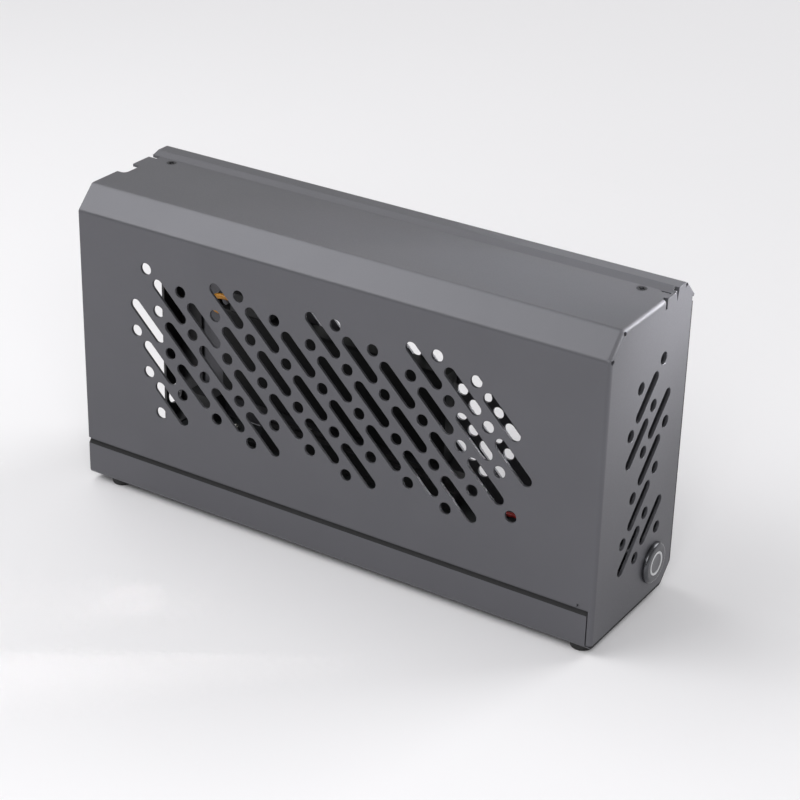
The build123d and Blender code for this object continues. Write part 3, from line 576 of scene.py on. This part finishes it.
# Capacitors: four aluminium cans with a rolled neck near the bottom and a rounded top that is sunk a little.
# They stand in a row on the board and are soldered to it.
CAN_X, CAN_Y = -33.025, 25.0
CAN_PITCH = 12.0
CAN_RADIUS = 3.15
CAN_HEIGHT = 8.0
CAN_ROUND = 0.6
CAN_SINK = 0.15
CAN_SINK_RADIUS = 2.3
NECK_MIDDLE = 1.4
NECK_HALF = 0.4
NECK_DEPTH = 0.3
NECK_SHOULDER = 0.5
can_aluminium = finish("can_aluminium", (0.55, 0.55, 0.56), 0.3, 1.0, (2.0, 0.08), (0.3, 0.004))
can_places = [(CAN_X + CAN_PITCH * step, CAN_Y, BOARD_TOP) for step in (-1.5, -0.5, 0.5, 1.5)]
can_profile = [
    (0.0, 0.0),
    (0.0, CAN_RADIUS),
    (NECK_MIDDLE - NECK_SHOULDER, CAN_RADIUS),
    *bend(NECK_MIDDLE, CAN_RADIUS, NECK_HALF, -NECK_DEPTH, -90, 90, 8),
    (NECK_MIDDLE + NECK_SHOULDER, CAN_RADIUS),
    *bend(CAN_HEIGHT - CAN_ROUND, CAN_RADIUS - CAN_ROUND, CAN_ROUND, CAN_ROUND, 0, 90, 6),
    (CAN_HEIGHT - CAN_SINK, CAN_SINK_RADIUS),
    (CAN_HEIGHT - CAN_SINK, 0.0),
]
cans = piece("turned_cans", [turned(can_profile, place, UPWARD, SMALL_ROUND_SIDES) for place in can_places])
place_piece(cans, can_aluminium, "can_aluminium", "enclosure", "capacitors")


# Wires: stranded copper in round coloured insulation. The yellow and black pair runs from the power module round
# to the card's plug above it, and the red and black pair from the button's terminals to the header on the board.
LEAD_RADIUS = 1.25
SWITCH_RADIUS = 1.0
LEAD_ROUTE = np.array([(-92.025, 0, 63.5), (-98.025, 0, 63.5), (-98.025, 0, 71.2), (-87.025, 0, 71.2)])
SWITCH_ROUTE = np.array([(91.975, 0, 20.3), (49.975, 0, 20.3), (49.975, 0, 17.0)])
CORNER_WEIGHT = 2
WIRE_ROUND_STEPS = 6
WIRE_RUN_STEPS = 24
INSULATION = {
    "wire_yellow": finish("wire_yellow", (0.80, 0.33, 0.01), 0.36, 0.0, (2.0, 0.08), (0.3, 0.006)),
    "wire_black": finish("wire_black", (0.015, 0.015, 0.016), 0.4, 0.0, (2.0, 0.1), (0.3, 0.006)),
    "wire_red": finish("wire_red", (0.50, 0.035, 0.03), 0.3, 0.0, (2.0, 0.08), (0.3, 0.006)),
}


def wire(name, route, radius, slot, node):
    """A round wire along a smooth curve that the route's corners draw, the inner ones with more weight than the
    ends."""
    curve = bpy.data.curves.new(name, "CURVE")
    curve.dimensions = "3D"
    curve.bevel_depth = radius * MM
    curve.bevel_resolution = WIRE_ROUND_STEPS
    curve.resolution_u = WIRE_RUN_STEPS
    curve.use_fill_caps = True
    spline = curve.splines.new("NURBS")
    spline.points.add(len(route) - 1)
    for point, place in zip(spline.points, (route * MM).tolist()):
        point.co = (*place, CORNER_WEIGHT)
    spline.points[0].co.w = spline.points[-1].co.w = 1
    spline.order_u = 3
    spline.use_endpoint_u = True
    drawn = bpy.data.objects.new(name, curve)
    scene.collection.objects.link(drawn)
    bpy.context.view_layer.update()
    mesh = bpy.data.meshes.new_from_object(drawn.evaluated_get(bpy.context.evaluated_depsgraph_get()))
    bpy.data.objects.remove(drawn)
    mesh.shade_smooth()
    thing = bpy.data.objects.new(name, mesh)
    scene.collection.objects.link(thing)
    place_piece(thing, INSULATION[slot], slot, "enclosure", node)


wire("lead_yellow", LEAD_ROUTE + (0, 24.425, 0), LEAD_RADIUS, "wire_yellow", "lead_wire_yellow")
wire("lead_black", LEAD_ROUTE + (0, 28.575, 0), LEAD_RADIUS, "wire_black", "lead_wire_black")
wire("switch_red", SWITCH_ROUTE + (0, 13.0, 0), SWITCH_RADIUS, "wire_red", "switch_wire_red")
wire("switch_black", SWITCH_ROUTE + (0, 17.0, 0), SWITCH_RADIUS, "wire_black", "switch_wire_black")


# Parts that keep their CAD shape, each with its own finish and with its raw edges softened a little.
# They are pressed, moulded or milled pieces inside the case, which show through the vents and the open end.
PLAIN_EDGE = 0.12 * MM
PLAIN_ANGLE = math.radians(40)
LONG_GRAIN = (9, 1, 1)
PLAIN_FINISHES = {
    "frame_zinc": finish("frame_zinc", (0.05, 0.05, 0.053), 0.46, 0.6, (7.0, 0.16), (1.6, 0.006), 0.1),
    "board_black": finish("board_black", (0.012, 0.014, 0.015), 0.34, 0.0, (6.0, 0.25), (0.8, 0.012)),
    "part_black": finish("part_black", (0.02, 0.02, 0.021), 0.5, 0.0, (3.0, 0.12), (0.25, 0.008), 0.07),
    "module_black": finish("module_black", (0.012, 0.012, 0.013), 0.6, 0.0, (9.0, 0.1), (0.4, 0.01),
                           Specular_IOR_Level=0.25),
    "bright_steel": bright_steel,
    "brass_stud": finish("brass_stud", (0.60, 0.44, 0.20), 0.32, 1.0, (2.0, 0.1), (0.3, 0.004), 0.07),
    "sink_aluminium": finish("sink_aluminium", (0.05, 0.05, 0.055), 0.4, 0.6, (3.0, 0.1), (0.3, 0.006), 0.08,
                             LONG_GRAIN),
    "coil_grey": finish("coil_grey", (0.07, 0.07, 0.072), 0.7, 0.0, (1.0, 0.25), (0.3, 0.02), 0.08),
}
for part in frame["record"]["subparts"]:
    if part["material_slot"] in PLAIN_FINISHES:
        node = nodes[part["node"]]
        node.data.materials.clear()
        node.data.materials.append(PLAIN_FINISHES[part["material_slot"]])
        node.data.shade_smooth()
        weld = node.modifiers.new("weld", "WELD")
        weld.merge_threshold = DOUBLES
        soften = node.modifiers.new("soften", "BEVEL")
        soften.width = PLAIN_EDGE
        soften.segments = EDGE_STEPS
        soften.limit_method = "ANGLE"
        soften.angle_limit = PLAIN_ANGLE
        flats = node.modifiers.new("flats", "WEIGHTED_NORMAL")
        flats.keep_sharp = True


# Floor: a wide pale sheet that the case stands on. Well away from the case, where the lamps no longer reach, it
# shows the same pale tone to the camera and in reflections, and lights nothing.
FLOOR_HALF = 6.0
FLOOR_PAPER = (0.90, 0.892, 0.91)
FLOOR_AWAY = (0.80, 0.795, 0.81)
FLOOR_LIT = 0.55
FLOOR_EVEN = 1.8
floor_mesh = bpy.data.meshes.new("floor")
floor_corners = [(x * FLOOR_HALF, y * FLOOR_HALF, 0) for x, y in ((-1, -1), (1, -1), (1, 1), (-1, 1))]
floor_mesh.from_pydata(floor_corners, [], [(0, 1, 2, 3)])
floor = bpy.data.objects.new("floor", floor_mesh)
scene.collection.objects.link(floor)
floor_paper = finish("floor_paper", FLOOR_PAPER, 0.7, 0.0, (400.0, 0.01), (2.0, 0.0))
tree = floor_paper.node_tree


def combined(operation, one, two):
    """The output of a node in the floor's material that works on two values."""
    maths = tree.nodes.new("ShaderNodeMath")
    maths.operation = operation
    tree.links.new(one, maths.inputs[0])
    tree.links.new(two, maths.inputs[1])
    return maths.outputs["Value"]


pale = tree.nodes.new("ShaderNodeEmission")
pale.inputs["Color"].default_value = (*FLOOR_AWAY, 1)
distance = tree.nodes.new("ShaderNodeVectorMath")
distance.operation = "LENGTH"
tree.links.new(tree.nodes.new("ShaderNodeTexCoord").outputs["Object"], distance.inputs[0])
away = tree.nodes.new("ShaderNodeMapRange")
away.interpolation_type = "SMOOTHSTEP"
away.inputs["From Min"].default_value = FLOOR_LIT
away.inputs["From Max"].default_value = FLOOR_EVEN
tree.links.new(distance.outputs["Value"], away.inputs["Value"])
ray = tree.nodes.new("ShaderNodeLightPath").outputs
seen = combined("MAXIMUM", ray["Is Camera Ray"], ray["Is Glossy Ray"])
seen = combined("MAXIMUM", seen, ray["Is Transmission Ray"])
share = combined("MULTIPLY", seen, away.outputs["Result"])
blend = tree.nodes.new("ShaderNodeMixShader")
tree.links.new(share, blend.inputs["Fac"])
tree.links.new(tree.nodes["Principled BSDF"].outputs["BSDF"], blend.inputs[1])
tree.links.new(pale.outputs["Emission"], blend.inputs[2])
tree.links.new(blend.outputs["Shader"], tree.nodes["Material Output"].inputs["Surface"])
floor_mesh.materials.append(floor_paper)


# Light: a pale room with a large soft lamp over the front left, which the slanted near edge mirrors, a small one
# beside it, one high on the left and two behind, which the top and its folds mirror, one at the front right, and
# a narrow beam on the upper part of the right end.
ROOM_STRENGTH = 0.34
ALL_ROUND = 180.0
MIDDLE = (0, 0, 0)
# Each lamp's place and aim from the case's middle, its size in m, its power in W and its spread in degrees.
LAMPS = {
    "front_high": ((-0.61, -0.585, 0.99), MIDDLE, 0.9, 5.9, ALL_ROUND),
    "front_left": ((-0.62, -0.40, 0.66), (-0.08, 0, 0), 0.45, 1.1, ALL_ROUND),
    "front_right": ((0.36, -0.55, 0.45), (0.10, 0, 0.02), 0.3, 1.6, ALL_ROUND),
    "over_left": ((-0.75, 0.20, 1.15), MIDDLE, 0.7, 3.3, ALL_ROUND),
    "rim_left": ((-0.60, 1.0, 0.60), MIDDLE, 0.8, 0.65, ALL_ROUND),
    "rim_right": ((1.0, 1.65, 1.05), MIDDLE, 1.2, 17.0, ALL_ROUND),
    "end_beam": ((0.50, 0.25, 0.2339), (0.119, 0.03, 0.0739), 0.06, 0.09, 16.0),
}
world = bpy.data.worlds.new("room")
scene.world = world
world.use_nodes = True
room = world.node_tree.nodes["Background"]
room.inputs["Color"].default_value = (1, 1, 1, 1)
room.inputs["Strength"].default_value = ROOM_STRENGTH
case_middle = (cad_box[0] + cad_box[1]) / 2
for name, (place, aim, size, power, spread) in LAMPS.items():
    lamp = bpy.data.lights.new(name, "AREA")
    lamp.shape = "SQUARE"
    lamp.size = size
    lamp.energy = power
    lamp.spread = math.radians(spread)
    softbox = bpy.data.objects.new(name, lamp)
    facing = (Vector(aim) - Vector(place)).to_track_quat("-Z", "Y").to_matrix().to_4x4()
    softbox.matrix_world = Matrix.Translation(case_middle + Vector(place)) @ facing
    scene.collection.objects.link(softbox)


# Camera: a long lens that looks at the case from the front right and above, rolled a little. Its angles, distance
# and aim bring the case's corners to their places in the photograph.
VIEW_AROUND = math.radians(32.270)
VIEW_UP = math.radians(26.836)
VIEW_ROLL = math.radians(1.426)
VIEW_DISTANCE = 872.96 * MM
AIM_RIGHT = 11.05 * MM
AIM_UP = -7.155 * MM
AIM_POINT = Vector((-1.025, 0, 67.0)) * MM
SENSOR_WIDTH = 36.0
FOCAL_LENGTH = 99.46
back = Vector((
    math.sin(VIEW_AROUND) * math.cos(VIEW_UP),
    -math.cos(VIEW_AROUND) * math.cos(VIEW_UP),
    math.sin(VIEW_UP),
))
level = Vector((math.cos(VIEW_AROUND), math.sin(VIEW_AROUND), 0))
upright = back.cross(level)
right = math.cos(VIEW_ROLL) * level + math.sin(VIEW_ROLL) * upright
above = -math.sin(VIEW_ROLL) * level + math.cos(VIEW_ROLL) * upright
lens = bpy.data.cameras.new("camera")
lens.sensor_width = SENSOR_WIDTH
lens.lens = FOCAL_LENGTH
camera = bpy.data.objects.new("camera", lens)
stand = AIM_POINT + AIM_RIGHT * right + AIM_UP * above + VIEW_DISTANCE * back
camera.matrix_world = Matrix.Translation(stand) @ Matrix((right, above, back)).transposed().to_4x4()
scene.collection.objects.link(camera)
scene.camera = camera
